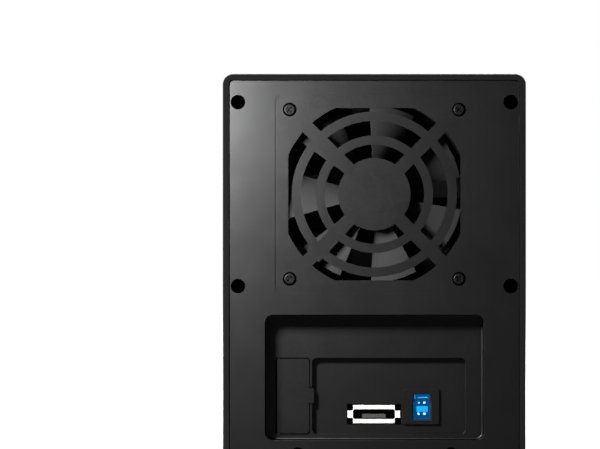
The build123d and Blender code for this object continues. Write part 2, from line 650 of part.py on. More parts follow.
def cage_side(side):
    """One wall of the drive cage, with a ledge for each tray, a foot and two screw lugs."""

    def span(near, far):
        return tuple(sorted((side * near, side * far)))

    wall = block(span(CAGE_HALF, CAGE_HALF + SHEET), (CAGE_FRONT, BOSS_END), (BASE_SHEET[1], CAGE_TOP))
    foot = (BASE_SHEET[1], BASE_SHEET[1] + SHEET)
    wall += block(span(CAGE_HALF, 60.0), (CAGE_FRONT + 6, BOSS_END - 2), foot)
    wall -= block(
        span(CAGE_HALF - 1, CAGE_HALF + 2), (CAGE_FRONT - 1, SLEEVE_FRONT + 6), (0, BASE_SHEET[1] + 1.4)
    )
    for n in range(BAYS):
        z = BAY_ONE + n * BAY_PITCH
        wall += block(span(CAGE_HALF - 3.0, CAGE_HALF + 0.5), (CAGE_FRONT, DRIVE_REAR - 5), (z, z + LEDGE))
    for z in (PANEL_SCREWS[0][1], PANEL_SCREWS[1][1]):
        wall += block(span(CAGE_HALF, 61.2), (BOSS_END - SHEET, BOSS_END), (z - 6, z + 6))
        wall -= rod_y(side * 57.6, z, 1.6, BOSS_END - 2, BOSS_END)
    for n in range(BAYS):
        z = BAY_ONE + n * BAY_PITCH + 16.0
        for y in (-60.0, -20.0, 20.0):
            slot = Pos(y, z) * SlotOverall(26.0, 8.0)
            wall -= extrude(Plane.YZ.offset(side * CAGE_HALF - 3) * slot, amount=6)
    return wall


def cage_top():
    plate = block(
        (-CAGE_HALF - SHEET, CAGE_HALF + SHEET), (CAGE_FRONT, BOSS_END - 20), (CAGE_TOP, CAGE_TOP + SHEET)
    )
    for y in (-70.0, -35.0, 0.0, 35.0):
        plate -= along_z(Pos(0, y) * SlotOverall(70.0, 10.0), CAGE_TOP - 1, CAGE_TOP + 2)
    return plate


# ---------------------------------------------------------------- drives and their trays
def hard_drive(n):
    """A casting open at the top under its lid, with the board underneath."""
    low = bay_z(n) + 1.2
    high = low + DRIVE_HEIGHT
    half = DRIVE_WIDTH / 2
    body = along_z(
        Pos(0, (DRIVE_FRONT + DRIVE_REAR) / 2) * RectangleRounded(DRIVE_WIDTH, DRIVE_LENGTH, 3.0),
        low,
        high - 1.2,
    )
    body -= along_z(Pos(0, DRIVE_FRONT + 52) * RectangleRounded(96.0, 96.0, 20.0), low + 5, high - 1.2)
    body -= block((-34.0, 8.0), (DRIVE_REAR - 9.0, DRIVE_REAR + 1), (low - 1, low + 8.5))
    body -= block((-44.0, 44.0), (DRIVE_FRONT + 12, DRIVE_REAR - 10), (low - 1, low + 1.6))
    for side in (-1, 1):
        for y in SIDE_HOLES:
            side_face = Plane(origin=(side * half, DRIVE_REAR - y, low + 6.35), z_dir=(-side, 0, 0))
            body -= extrude(side_face * Circle(1.55), amount=4.0)
    lid = along_z(
        Pos(0, DRIVE_FRONT + 66) * RectangleRounded(98.0, 126.0, 6.0), high - 1.2, high - 0.2
    )
    lid += along_z(Pos(0, DRIVE_FRONT + 52) * Circle(20.0), high - 0.3, high)
    board = block((-43.5, 43.5), (DRIVE_FRONT + 13, DRIVE_REAR - 11), (low + 0.3, low + 1.6))
    return [body, lid, board]


def drive_tray(n):
    """A moulded carriage: floor, two rails, a vented front plate and the ends that hold the lever."""
    low = bay_z(n)
    face_low, face_high = BAY_ONE + n * BAY_PITCH + 0.4, BAY_ONE + (n + 1) * BAY_PITCH - 0.4
    half = OPENING_HALF - 0.5
    tray = block((-half, half), (TRAY_PLATE, TRAY_BACK), (face_low, face_high))
    for x in (-40.0, -16.0, 8.0, 32.0):
        tray -= along_y(
            rounded(19.0, 16.0, 2.0, x - 1.0, (face_low + face_high) / 2), TRAY_PLATE, DRIVE_FRONT
        )
    tray += block((-53.2, 53.2), (TRAY_PLATE + 2, DRIVE_REAR - 8), (low, low + 1.2))
    for y in (-66.0, -30.0, 6.0):
        for x in (-33.0, -11.0, 11.0, 33.0):
            tray -= along_z(Pos(x, y) * RectangleRounded(16.0, 28.0, 3.0), low - 1, low + 2)
    for side in (-1, 1):
        rail = tuple(sorted((side * 51.2, side * 53.2)))
        tray += block(rail, (TRAY_PLATE + 2, DRIVE_REAR - 8), (low, low + 19.0))
        for y in SIDE_HOLES:
            seat = Plane(origin=(side * 53.2, DRIVE_REAR - y, low + 7.55), z_dir=(-side, 0, 0))
            tray -= extrude(seat * Circle(1.6), amount=3.0)
            tray -= loft([seat * Circle(2.85), seat.offset(1.25) * Circle(1.6)])
    for z_low, z_high in ((face_low, face_low + 2.6), (face_high - 2.6, face_high)):
        ear = block((-half, -47.0), (TRAY_FACE + 0.6, TRAY_PLATE), (z_low, z_high))
        ear -= rod_z(LEVER_X, LEVER_Y, 1.36, z_low, z_high)
        tray += ear
    head = block((LEVER_END + 0.6, half), (TRAY_FACE, TRAY_PLATE), (face_low, face_high))
    corner = head.edges().filter_by(
        lambda e: abs(e.center().X - half) < 1e-3 and abs(e.center().Y - TRAY_FACE) < 1e-3
    )
    head = fillet(corner, 1.0)
    head -= block(
        (RELEASE_X - RELEASE_HALF - GAP, RELEASE_X + RELEASE_HALF + GAP),
        (TRAY_FACE - 1, TRAY_PLATE + 0.5),
        (face_low + 7.0 - GAP, face_high - 7.0 + GAP),
    )
    tray += head
    return tray - rod_y(RELEASE_X, (face_low + face_high) / 2, 1.6, TRAY_PLATE, TRAY_BACK)


def tray_lever(n):
    """The handle across the tray's front: a knuckle with two trunnions, and a vented plate."""
    face_low, face_high = BAY_ONE + n * BAY_PITCH + 0.4, BAY_ONE + (n + 1) * BAY_PITCH - 0.4
    low, high = face_low + 2.6 + GAP, face_high - 2.6 - GAP
    knuckle = rod_z(LEVER_X, LEVER_Y, LEVER_R, low, high)
    plate = block((LEVER_X, LEVER_END), (TRAY_FACE, TRAY_FACE + 2.5), (low, high))
    tip = plate.edges().filter_by(
        lambda e: abs(e.center().X - LEVER_END) < 1e-3 and abs(e.center().Y - TRAY_FACE) < 1e-3
    )
    lever = fillet(tip, 1.0) + knuckle
    for z_low, z_high in ((low, low + 1.6), (high - 1.6, high)):
        lever += block((LEVER_X + 1, LEVER_END), (TRAY_FACE + 2, TRAY_PLATE - 1.0), (z_low, z_high))
    for k in range(17):
        x = -42.0 + k * 4.6
        lever -= along_y(
            rounded(2.2, 14.0, 1.05, x, (low + high) / 2), TRAY_FACE - 1, TRAY_FACE + 3
        )
    for z_low, z_high in ((face_low + 0.4, low), (high, face_high - 0.4)):
        lever += rod_z(LEVER_X, LEVER_Y, 1.3, z_low, z_high)
    return lever


def tray_release(n):
    """The push button that frees the lever; a disc on its stem keeps it in the tray's end."""
    face_low, face_high = BAY_ONE + n * BAY_PITCH + 0.4, BAY_ONE + (n + 1) * BAY_PITCH - 0.4
    middle = (face_low + face_high) / 2
    cap = block(
        (RELEASE_X - RELEASE_HALF, RELEASE_X + RELEASE_HALF),
        (TRAY_FACE - 0.5, TRAY_PLATE - 1.6),
        (face_low + 7.0, face_high - 7.0),
    )
    face = cap.edges().filter_by(lambda e: abs(e.bounding_box().max.Y - TRAY_FACE + 0.5) < 1e-3)
    button = fillet(face, 0.7) + rod_y(RELEASE_X, middle, 1.5, TRAY_PLATE - 1.6, TRAY_BACK + 0.9)
    return button + rod_y(RELEASE_X, middle, 1.95, TRAY_BACK + 0.1, TRAY_BACK + 0.9)


def drive_screws(n):
    """Countersunk screws through the rails into the drive's sides."""
    low = bay_z(n)
    screws = []
    for side in (-1, 1):
        for y in SIDE_HOLES:
            seat = Plane(origin=(side * 53.15, DRIVE_REAR - y, low + 7.55), z_dir=(-side, 0, 0))
            head = loft([seat * Circle(2.7), seat.offset(1.2) * Circle(1.5)])
            shank = extrude(seat.offset(1.1) * Circle(1.5), amount=4.4)
            slot = extrude(seat * (Rectangle(2.8, 0.6) + Rectangle(0.6, 2.8)), amount=0.7)
            screws.append(head + shank - slot)
    return screws


# ---------------------------------------------------------------- writing the nodes
NODES = {
    "outer_sleeve": outer_sleeve,
    "rear_panel": rear_panel,
    "port_tub": port_tub,
    "port_flap": port_flap,
    "flap_pin": flap_pin,
    "front_bezel": front_bezel,
    "control_fascia": control_fascia,
    "power_button": lambda: push_button(POWER_X, POWER_R),
    "fan_speed_button": lambda: push_button(SPEED_X, SPEED_R),
    "status_lenses": status_lenses,
    "rubber_feet": rubber_feet,
    "io_bracket": io_bracket,
    "bracket_screws": bracket_screws,
    "esata_shell": esata_shell,
    "esata_core": esata_core,
    "usb_housing": usb_housing,
    "usb_insert": usb_insert,
    "connector_contacts": connector_contacts,
    "power_jack": power_jack,
    "main_board": main_board,
    "board_standoffs": board_standoffs,
    "board_screws": board_screws,
    "board_parts": board_parts,
    "backplane_board": backplane_board,
    "backplane_sockets": backplane_sockets,
    "front_board": front_board,
    "tact_switches": tact_switches,
    "status_lamps": status_lamps,
    "panel_ribbon": panel_ribbon,
    "fan_lead": fan_lead,
    "fan_frame": fan_frame,
    "fan_rotor": fan_rotor,
    "fan_shaft": fan_shaft,
    "fan_stator": fan_stator,
    "fan_screws": fan_screws,
    "panel_screws": panel_screws,
    "base_plate": base_plate,
    "cage_left": lambda: cage_side(-1),
    "cage_right": lambda: cage_side(1),
    "cage_top": cage_top,
}
BAY_NODES = {
    "hard_drive": hard_drive,
    "drive_tray": drive_tray,
    "tray_lever": tray_lever,
    "tray_release": tray_release,
    "drive_screws": drive_screws,
}

for name, make in NODES.items():
    made = make()
    export_step(Compound(made) if isinstance(made, list) else made, f"parts/{name}.step")
for bay in range(BAYS):
    for name, make in BAY_NODES.items():
        made = make(bay)
        export_step(Compound(made) if isinstance(made, list) else made, f"parts/{name}_{bay + 1}.step")
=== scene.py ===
import math

import bpy
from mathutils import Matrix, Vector

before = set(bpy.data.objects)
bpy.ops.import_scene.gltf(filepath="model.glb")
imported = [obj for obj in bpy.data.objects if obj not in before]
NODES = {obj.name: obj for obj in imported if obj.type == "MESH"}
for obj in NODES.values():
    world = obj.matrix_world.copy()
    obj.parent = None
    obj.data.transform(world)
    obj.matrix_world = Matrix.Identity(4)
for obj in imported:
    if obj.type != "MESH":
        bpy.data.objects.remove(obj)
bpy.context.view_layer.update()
scene = bpy.context.scene

# All lengths are in metres. These say where one piece changes its look.
REAR_Y = 0.107  # the back edge of the sleeve
SCREW_WELL_Y = 0.1048  # painted shade: the panel is near black without sheen deeper than this
SHELL_MOUTH_Y = 0.0954  # painted shade: the flat socket's shell is dull dark grey deeper than this
TONGUE_ROOT_Y = 0.0885  # the flat socket's core is a tongue from here outwards
BLUE_MOUTH_Y = 0.0958  # the blue insert has a painted glow deeper than this
BLUE_TONGUE_X, BLUE_TONGUE_Y = (-0.0231, -0.0172), (0.0945, 0.0966)
LOW_TONGUE_Z, HIGH_TONGUE_Z = (0.0276, 0.0306), (0.0334, 0.0351)
BLUE_SIDE_X = -0.01  # contacts on this side belong to the blue socket
BAYS = 4
BAY_ONE_Z = 0.041  # the lowest bay's ledge
BAY_PITCH_Z = 0.031
DRIVE_FLOOR = 0.0027  # the drive's underside above its bay's ledge
DRIVE_LID, DRIVE_LABEL, DRIVE_BOARD = 0.0247, 0.0257, 0.00165  # heights above that underside
LABEL_RULES = 165.0  # printed lines in a metre
CAN_TOP_Z = 0.0328  # the capacitors' bright tops start here
RIBBON_PITCH = 0.00127
RED_WIRE_X = -0.0048  # the ribbon's first wire lies past this
FIRST_LAMP_X = -0.0435  # and the green lamp past this


def grey(shade):
    """A colour with its three parts alike."""
    return [shade] * 3


# ---------------------------------------------------------------- shader helpers
class Look:
    """A Principled material, built up by small steps in the object's own coordinates (metres)."""

    def __init__(self, name):
        self.material = bpy.data.materials.new(name)
        self.material.use_nodes = True
        self.tree = self.material.node_tree
        self.tree.nodes.clear()
        self.output = self.tree.nodes.new("ShaderNodeOutputMaterial")
        self.shader = self.tree.nodes.new("ShaderNodeBsdfPrincipled")
        self.tree.links.new(self.shader.outputs[0], self.output.inputs[0])
        self.coord = self.tree.nodes.new("ShaderNodeTexCoord").outputs["Object"]
        self.normal = None
        self.axes = None
        self.base = None
        self.rough = None

    def put(self, socket, value):
        """Links a socket to the input, or gives it a constant."""
        if isinstance(value, bpy.types.NodeSocket):
            self.tree.links.new(value, socket)
        else:
            socket.default_value = value

    def set(self, **values):
        """Sets the shader's inputs, such as Base_Color or Roughness."""
        for name, value in values.items():
            socket = self.shader.inputs[name.replace("_", " ")]
            if name.endswith("Color") and isinstance(value, (tuple, list)):
                value = (*value[:3], 1.0)
            self.put(socket, value)
        return self

    def math(self, kind, a, b=0.0, clamp=False):
        node = self.tree.nodes.new("ShaderNodeMath")
        node.operation = kind
        node.use_clamp = clamp
        for socket, value in zip(node.inputs, (a, b)):
            self.put(socket, value)
        return node.outputs[0]

    def axis(self, name):
        """One of the object's own coordinates."""
        if self.axes is None:
            node = self.tree.nodes.new("ShaderNodeSeparateXYZ")
            self.put(node.inputs[0], self.coord)
            self.axes = node.outputs
        return self.axes["XYZ".index(name)]

    def noise(self, scale, detail=4.0, rough=0.55, vector=None):
        node = self.tree.nodes.new("ShaderNodeTexNoise")
        self.put(node.inputs["Vector"], self.coord if vector is None else vector)
        node.inputs["Scale"].default_value = scale
        node.inputs["Detail"].default_value = detail
        node.inputs["Roughness"].default_value = rough
        return node.outputs["Fac"]

    def streaks(self, scale, detail=3.0, rough=0.6):
        """Noise drawn out along the axes whose scale is small."""
        node = self.tree.nodes.new("ShaderNodeMapping")
        self.put(node.inputs["Vector"], self.coord)
        node.inputs["Scale"].default_value = scale
        return self.noise(1.0, detail, rough, node.outputs[0])

    def cells(self, scale, out="Distance"):
        node = self.tree.nodes.new("ShaderNodeTexVoronoi")
        self.put(node.inputs["Vector"], self.coord)
        node.inputs["Scale"].default_value = scale
        return node.outputs[out]

    def span(self, value, low, high, to_low=0.0, to_high=1.0, smooth=False):
        """Maps low..high to to_low..to_high, clamped."""
        node = self.tree.nodes.new("ShaderNodeMapRange")
        node.interpolation_type = "SMOOTHSTEP" if smooth else "LINEAR"
        self.put(node.inputs["Value"], value)
        for name, number in zip(("From Min", "From Max", "To Min", "To Max"), (low, high, to_low, to_high)):
            node.inputs[name].default_value = number
        return node.outputs[0]

    def spread(self, noise, to_low, to_high):
        """Maps the middle of a noise's range, where nearly all of it lies, to to_low..to_high."""
        return self.span(noise, 0.3, 0.7, to_low, to_high)

    def mix(self, share, a, b):
        """Colour a where share is 0, and b where it is 1."""
        node = self.tree.nodes.new("ShaderNodeMix")
        node.data_type = "RGBA"
        self.put(node.inputs[0], share)
        for socket, value in ((node.inputs[6], a), (node.inputs[7], b)):
            if isinstance(value, (tuple, list)):
                value = (*value[:3], 1.0)
            self.put(socket, value)
        return node.outputs[2]

    def blend(self, share, a, b):
        """Number a where share is 0, and b where it is 1."""
        node = self.tree.nodes.new("ShaderNodeMix")
        node.data_type = "FLOAT"
        for socket, value in zip(node.inputs[:1] + node.inputs[2:4], (share, a, b)):
            self.put(socket, value)
        return node.outputs[0]

    def between(self, value, low, high):
        """1 where low < value < high, else 0."""
        above = self.math("GREATER_THAN", value, low)
        return self.math("MULTIPLY", above, self.math("LESS_THAN", value, high))

    def inside(self, **ranges):
        """1 inside a box of (low, high) ranges in metres, such as X=(0, 0.1)."""
        share = None
        for name, (low, high) in ranges.items():
            one = self.between(self.axis(name), low, high)
            share = one if share is None else self.math("MULTIPLY", share, one)
        return share

    def edges(self, radius, gain=4.0):
        """About 1 along the shape's edges and 0 on its flats."""
        bevel = self.tree.nodes.new("ShaderNodeBevel")
        bevel.samples = 4
        bevel.inputs["Radius"].default_value = radius
        geometry = self.tree.nodes.new("ShaderNodeNewGeometry")
        dot = self.tree.nodes.new("ShaderNodeVectorMath")
        dot.operation = "DOT_PRODUCT"
        self.put(dot.inputs[0], bevel.outputs[0])
        self.put(dot.inputs[1], geometry.outputs["Normal"])
        return self.math("MULTIPLY", self.math("SUBTRACT", 1.0, dot.outputs["Value"]), gain, clamp=True)

    def facing(self, axis):
        """How far the surface faces along one of the object's own axes, from -1 to 1."""
        coord = self.tree.nodes.new("ShaderNodeTexCoord")
        node = self.tree.nodes.new("ShaderNodeSeparateXYZ")
        self.put(node.inputs[0], coord.outputs["Normal"])
        return node.outputs["XYZ".index(axis)]

    def bump(self, height, distance):
        """Adds a relief, of this depth in metres, on top of the ones before it."""
        node = self.tree.nodes.new("ShaderNodeBump")
        self.put(node.inputs["Height"], height)
        node.inputs["Distance"].default_value = distance
        if self.normal is not None:
            self.put(node.inputs["Normal"], self.normal)
        self.normal = node.outputs[0]
        self.put(self.shader.inputs["Normal"], self.normal)
        return self

    def soft_edges(self, radius):
        """Rounds the shading of edges, as moulding and paint do."""
        node = self.tree.nodes.new("ShaderNodeBevel")
        node.samples = 4
        node.inputs["Radius"].default_value = radius
        self.normal = node.outputs[0]
        self.put(self.shader.inputs["Normal"], self.normal)
        return self


# ---------------------------------------------------------------- materials
def satin_black(name, shade, rough, grain, grain_depth, level=0.5, edge=0.35, bevel=0.00025):
    """Black paint or moulded plastic: mottled a little, with a fine grain and lighter edges.

    grain is the grain's scale and grain_depth its relief. level is the specular level, edge is how much
    lighter the worn edges are, and bevel is the radius that softens them (None leaves them sharp).
    """
    look = Look(name)
    if bevel:
        look.soft_edges(bevel)
    cloud = look.noise(38.0, detail=5.0, rough=0.6)
    fine = look.noise(grain, detail=3.0, rough=0.6)
    look.base = look.mix(cloud, grey(shade * 0.82), [shade * 1.2, shade * 1.2, shade * 1.24])
    worn = look.math("MULTIPLY", look.edges(0.0005), look.span(look.noise(220.0), 0.35, 0.7))
    look.base = look.mix(look.math("MULTIPLY", worn, edge), look.base, [0.16, 0.16, 0.165])
    uneven = look.blend(look.noise(90.0, detail=6.0, rough=0.65), rough - 0.03, rough + 0.04)
    look.rough = look.math("ADD", uneven, look.spread(fine, -0.03, 0.03))
    look.set(Base_Color=look.base, Roughness=look.rough, Specular_IOR_Level=level)
    return look.bump(fine, grain_depth)


def panel_black(name="panel_black", well_y=0.0):
    """Satin black with fine level brush marks, and painted shade, near black without sheen, on its walls and
    deeper than well_y.
    """
    look = satin_black(name, 0.003, 0.33, level=1.0, grain=2200.0, grain_depth=2e-6, edge=0.03, bevel=None)
    # Painted shade: step walls, and the screw wells deeper than well_y, get a near-black base and full
    # metallic, so they show no light.
    painted_shade_wall = look.span(look.facing("Y"), 0.75, 0.995, 0.93, 0.0)
    painted_shade_well = look.math("LESS_THAN", look.axis("Y"), well_y)
    painted_shade = look.math("MAXIMUM", painted_shade_wall, painted_shade_well)
    look.set(
        Base_Color=look.mix(painted_shade, look.base, grey(0.0005)),
        Metallic=painted_shade,
        Roughness=look.blend(painted_shade, look.rough, 0.6),
    )
    streak = look.streaks((55.0, 55.0, 2600.0), detail=3.0, rough=0.7)
    return look.bump(streak, 8e-7).material


def textured_black():
    """A spark-eroded moulding."""
    look = satin_black("textured_black", 0.02, 0.52, grain=900.0, grain_depth=1.5e-5)
    return look.bump(look.cells(1500.0), 1.4e-5).material


def gloss_black():
    """A polished strip with a little dust and some hairline scratches."""
    look = Look("gloss_black")
    dust = look.span(look.cells(520.0), 0.0, 0.16, 1.0, 0.0)
    dust = look.math("MULTIPLY", dust, look.span(look.noise(60.0), 0.5, 0.7))
    hair = look.streaks((40.0, 40.0, 900.0), detail=2.0, rough=0.5)
    look.set(
        Base_Color=look.mix(dust, [0.006, 0.006, 0.007], grey(0.06)),
        Roughness=look.math("ADD", look.span(hair, 0.35, 0.75, 0.07, 0.16), look.math("MULTIPLY", dust, 0.4)),
    )
    return look.bump(hair, 1.5e-6).material


def silver_plastic():
    """Plastic with metal flakes in its lacquer."""
    look = Look("silver_plastic").soft_edges(0.0002)
    fleck = look.cells(3200.0, out="Color")
    look.set(
        Base_Color=look.mix(look.noise(60.0), look.mix(0.16, [0.3, 0.31, 0.33], fleck), [0.36, 0.37, 0.39]),
        Metallic=0.55,
        Roughness=look.spread(look.noise(800.0), 0.3, 0.42),
    )
    return look.bump(look.noise(2600.0), 6e-6).material


def rubber():
    """Matt rubber, speckled, with fine ribs."""
    look = Look("rubber")
    bits = look.noise(1300.0, detail=5.0, rough=0.7)
    ribs = look.math("SINE", look.math("MULTIPLY", look.axis("X"), 5200.0))
    look.set(
        Base_Color=look.mix(bits, grey(0.012), [0.035, 0.034, 0.033]),
        Roughness=look.spread(bits, 0.68, 0.9),
        Specular_IOR_Level=0.3,
    )
    return look.bump(bits, 4e-5).bump(ribs, 1e-5).material


def galvanised():
    """Zinc-coated sheet with its spangle."""
    look = Look("galvanised").soft_edges(0.0002)
    spangle = look.cells(160.0, out="Color")
    to_grey = look.tree.nodes.new("ShaderNodeRGBToBW")
    look.put(to_grey.inputs[0], spangle)
    tone = to_grey.outputs[0]
    look.set(
        Base_Color=look.mix(tone, [0.42, 0.43, 0.44], [0.64, 0.65, 0.66]),
        Metallic=1.0,
        Roughness=look.math(
            "ADD", look.span(tone, 0.0, 1.0, 0.3, 0.5), look.spread(look.noise(700.0), -0.04, 0.05)
        ),
    )
    return look.bump(look.noise(420.0), 1e-5).material


def brushed_steel(name="brushed_steel", shade=0.52, rough=0.28, across=(40.0, 40.0, 4200.0)):
    """Steel with fine lines; across holds the lines' scales along the three axes."""
    look = Look(name).soft_edges(0.00015)
    lines = look.streaks(across, detail=4.0, rough=0.7)
    look.set(
        Base_Color=look.mix(lines, grey(shade * 0.8), [shade * 1.12, shade * 1.12, shade * 1.1]),
        Metallic=1.0,
        Roughness=look.spread(lines, rough - 0.07, rough + 0.12),
    )
    return look.bump(lines, 4e-6).material


def black_screw(name, shade, rough, level):
    """Blackened steel, rubbed a little along its edges."""
    look = Look(name).soft_edges(0.00015)
    bite = look.noise(900.0, detail=4.0, rough=0.6)
    worn = look.math("MULTIPLY", look.edges(0.0003, 5.0), look.span(bite, 0.4, 0.65))
    look.set(
        Base_Color=look.mix(look.math("MULTIPLY", worn, 0.25), grey(shade), grey(0.08)),
        Roughness=look.spread(bite, rough - 0.05, rough + 0.07),
        Specular_IOR_Level=level,
    )
    return look.bump(bite, 1e-5).material


def tin_plate():
    """Bright tin on the flanges, and painted shade, a dull dark grey, on the shell's inside behind them."""
    look = Look("tin_plate").soft_edges(0.0002)
    # Painted shade: dark grey base on the shell's inside, deeper than its mouth.
    painted_shade_tube = look.math("LESS_THAN", look.axis("Y"), SHELL_MOUTH_Y)
    roll = look.streaks((900.0, 300.0, 3000.0), detail=3.0, rough=0.6)
    tarnish = look.span(look.noise(420.0, detail=6.0, rough=0.6), 0.45, 0.75)
    bright = look.mix(tarnish, [0.95, 0.95, 0.94], [0.8, 0.79, 0.76])
    look.set(
        Base_Color=look.mix(painted_shade_tube, bright, grey(0.02)),
        Metallic=0.1,
        Roughness=look.math("ADD", look.spread(roll, 0.3, 0.4), look.math("MULTIPLY", painted_shade_tube, 0.4)),
    )
    return look.bump(roll, 4e-6).material


def contact_plate():
    """Gold on the flat socket's blades, and pale plate with a painted blue glow on the blue socket's."""
    look = Look("contact_plate")
    rub = look.noise(1500.0, detail=4.0, rough=0.6)
    blue_side = look.math("LESS_THAN", look.axis("X"), BLUE_SIDE_X)
    warm = look.mix(rub, [0.8, 0.66, 0.4], [0.95, 0.84, 0.6])
    cool = look.mix(rub, [0.5, 0.8, 0.95], [0.65, 0.9, 1.0])
    look.set(
        Base_Color=look.mix(blue_side, warm, cool),
        Metallic=look.math("SUBTRACT", 1.0, blue_side),
        Roughness=look.spread(rub, 0.2, 0.34),
        # Painted glow: the blue socket's contacts emit a faint blue light.
        Emission_Color=look.mix(blue_side, grey(0.0), [0.03, 0.12, 0.22]),
        Emission_Strength=1.0,
    )
    return look.bump(rub, 3e-6).material


def socket_core():
    """Painted shade, near black, on the core behind, with a dull grey tongue."""
    look = Look("socket_core")
    grain = look.noise(1800.0, detail=3.0, rough=0.6)
    tongue = look.math("GREATER_THAN", look.axis("Y"), TONGUE_ROOT_Y)
    dull = look.mix(grain, [0.045, 0.045, 0.046], [0.06, 0.06, 0.061])
    look.set(
        # Painted shade: the core behind the tongue is near black.
        Base_Color=look.mix(tongue, grey(0.0008), dull),
        Roughness=look.spread(grain, 0.5, 0.62),
        Specular_IOR_Level=0.3,
    )
    return look.bump(grain, 8e-6).material


def blue_insert():
    """A clear blue moulding: deep at its rim, with a painted glow inside, and two bright tongues."""
    look = Look("blue_insert").soft_edges(0.0001)
    swirl = look.noise(420.0, detail=4.0, rough=0.5)
    low = look.inside(X=BLUE_TONGUE_X, Z=LOW_TONGUE_Z, Y=BLUE_TONGUE_Y)
    high = look.inside(X=BLUE_TONGUE_X, Z=HIGH_TONGUE_Z, Y=BLUE_TONGUE_Y)
    painted_glow_zone = look.math("LESS_THAN", look.axis("Y"), BLUE_MOUTH_Y)
    base = look.mix(swirl, [0.0, 0.02, 0.065], [0.0, 0.028, 0.09])
    base = look.mix(low, base, [0.0, 0.29, 0.75])
    base = look.mix(high, base, [0.03, 0.3, 0.6])
    # Painted glow: emission inside the insert, deeper than its mouth, and a trace at the rim.
    painted_glow = look.mix(painted_glow_zone, [0.0, 0.004, 0.012], [0.0, 0.06, 0.18])
    look.set(
        Base_Color=base,
        Roughness=look.spread(swirl, 0.4, 0.5),
        Specular_IOR_Level=0.5,
        Emission_Color=painted_glow,
        Emission_Strength=1.0,
    )
    return look.bump(look.noise(3000.0), 4e-6).material


def circuit_board(name, dark, light, run):
    """Lacquer, dark to light, over copper runs, with plated holes."""
    look = Look(name)
    grid = look.tree.nodes.new("ShaderNodeTexBrick")
    look.put(grid.inputs["Vector"], look.coord)
    grid.inputs["Scale"].default_value = 130.0
    grid.inputs["Mortar Size"].default_value = 0.035
    grid.inputs["Color1"].default_value = (0.0, 0.0, 0.0, 1.0)
    grid.inputs["Color2"].default_value = (0.25, 0.25, 0.25, 1.0)
    grid.inputs["Mortar"].default_value = (1.0, 1.0, 1.0, 1.0)
    runs = look.math("GREATER_THAN", look.noise(90.0, detail=1.0, rough=0.4), 0.52)
    copper = look.math("MULTIPLY", grid.outputs["Color"], runs)
    hole = look.math("LESS_THAN", look.cells(260.0), 0.12)
    base = look.mix(look.noise(50.0), dark, light)
    base = look.mix(look.math("MULTIPLY", copper, 0.6), base, run)
    base = look.mix(hole, base, [0.6, 0.56, 0.42])
    look.set(
        Base_Color=base,
        Metallic=look.math("MULTIPLY", hole, 0.9),
        Roughness=look.spread(look.noise(400.0), 0.24, 0.36),
    )
    return look.bump(copper, 1.5e-5).material


def mounted_parts():
    """Black chips, a natural aluminium heat sink, and capacitors with bright scored tops."""
    look = Look("mounted_parts")
    fine = look.noise(1500.0)
    sink = look.inside(X=(-0.0141, 0.0141), Y=(0.0039, 0.0321), Z=(0.0241, 0.034))
    caps = look.inside(X=(0.0055, 0.0245), Y=(0.0635, 0.0825), Z=(0.0225, 0.0335))
    top = look.math("MULTIPLY", caps, look.math("GREATER_THAN", look.axis("Z"), CAN_TOP_Z))
    header = look.inside(Y=(-0.062, -0.048), Z=(0.0225, 0.027))
    base = look.mix(fine, [0.014, 0.014, 0.016], [0.03, 0.03, 0.032])
    base = look.mix(header, base, [0.05, 0.05, 0.055])
    base = look.mix(sink, base, look.mix(fine, [0.5, 0.5, 0.52], [0.68, 0.68, 0.7]))
    base = look.mix(caps, base, [0.012, 0.02, 0.06])
    base = look.mix(top, base, grey(0.7))
    metal = look.math("ADD", look.math("MULTIPLY", sink, 0.95), look.math("MULTIPLY", top, 0.9), clamp=True)
    look.set(Base_Color=base, Metallic=metal, Roughness=look.spread(fine, 0.36, 0.52))
    return look.bump(fine, 8e-6).material


def drive_case(n):
    """A cast body, a brushed lid with a plain printed label, and a green board underneath."""
    look = Look(f"drive_case_{n}").soft_edges(0.0002)
    low = BAY_ONE_Z + (n - 1) * BAY_PITCH_Z + DRIVE_FLOOR
    z = look.axis("Z")
    fine = look.noise(900.0, detail=5.0, rough=0.6)
    lines = look.streaks((3600.0, 45.0, 45.0), detail=3.0, rough=0.6)
    lid = look.math("GREATER_THAN", z, low + DRIVE_LID)
    label = look.math(
        "MULTIPLY",
        look.math("GREATER_THAN", z, low + DRIVE_LABEL),
        look.inside(X=(-0.04, 0.04), Y=(-0.0325, 0.034)),
    )
    rule = look.between(look.math("FRACT", look.math("MULTIPLY", look.axis("Y"), LABEL_RULES)), 0.0, 0.09)
    frame_line = look.math("SUBTRACT", label, look.inside(X=(-0.0375, 0.0375), Y=(-0.03, 0.0315)))
    board = look.math(
        "MULTIPLY", look.math("LESS_THAN", z, low + DRIVE_BOARD), look.inside(X=(-0.0436, 0.0436))
    )
    base = look.mix(fine, [0.42, 0.42, 0.43], [0.6, 0.6, 0.61])
    base = look.mix(lid, base, look.mix(lines, [0.5, 0.5, 0.51], grey(0.7)))
    paper = look.mix(look.math("MULTIPLY", rule, 0.5), [0.82, 0.82, 0.8], [0.3, 0.3, 0.32])
    base = look.mix(label, base, look.mix(frame_line, paper, [0.12, 0.16, 0.24]))
    base = look.mix(board, base, look.mix(fine, [0.008, 0.08, 0.04], [0.012, 0.12, 0.055]))
    plain = look.math("MAXIMUM", label, board)
    look.set(
        Base_Color=base,
        Metallic=look.math("SUBTRACT", 1.0, plain, clamp=True),
        Roughness=look.math("ADD", look.spread(fine, 0.32, 0.46), look.math("MULTIPLY", label, 0.15)),
    )
    return look.bump(fine, 1.6e-5).material


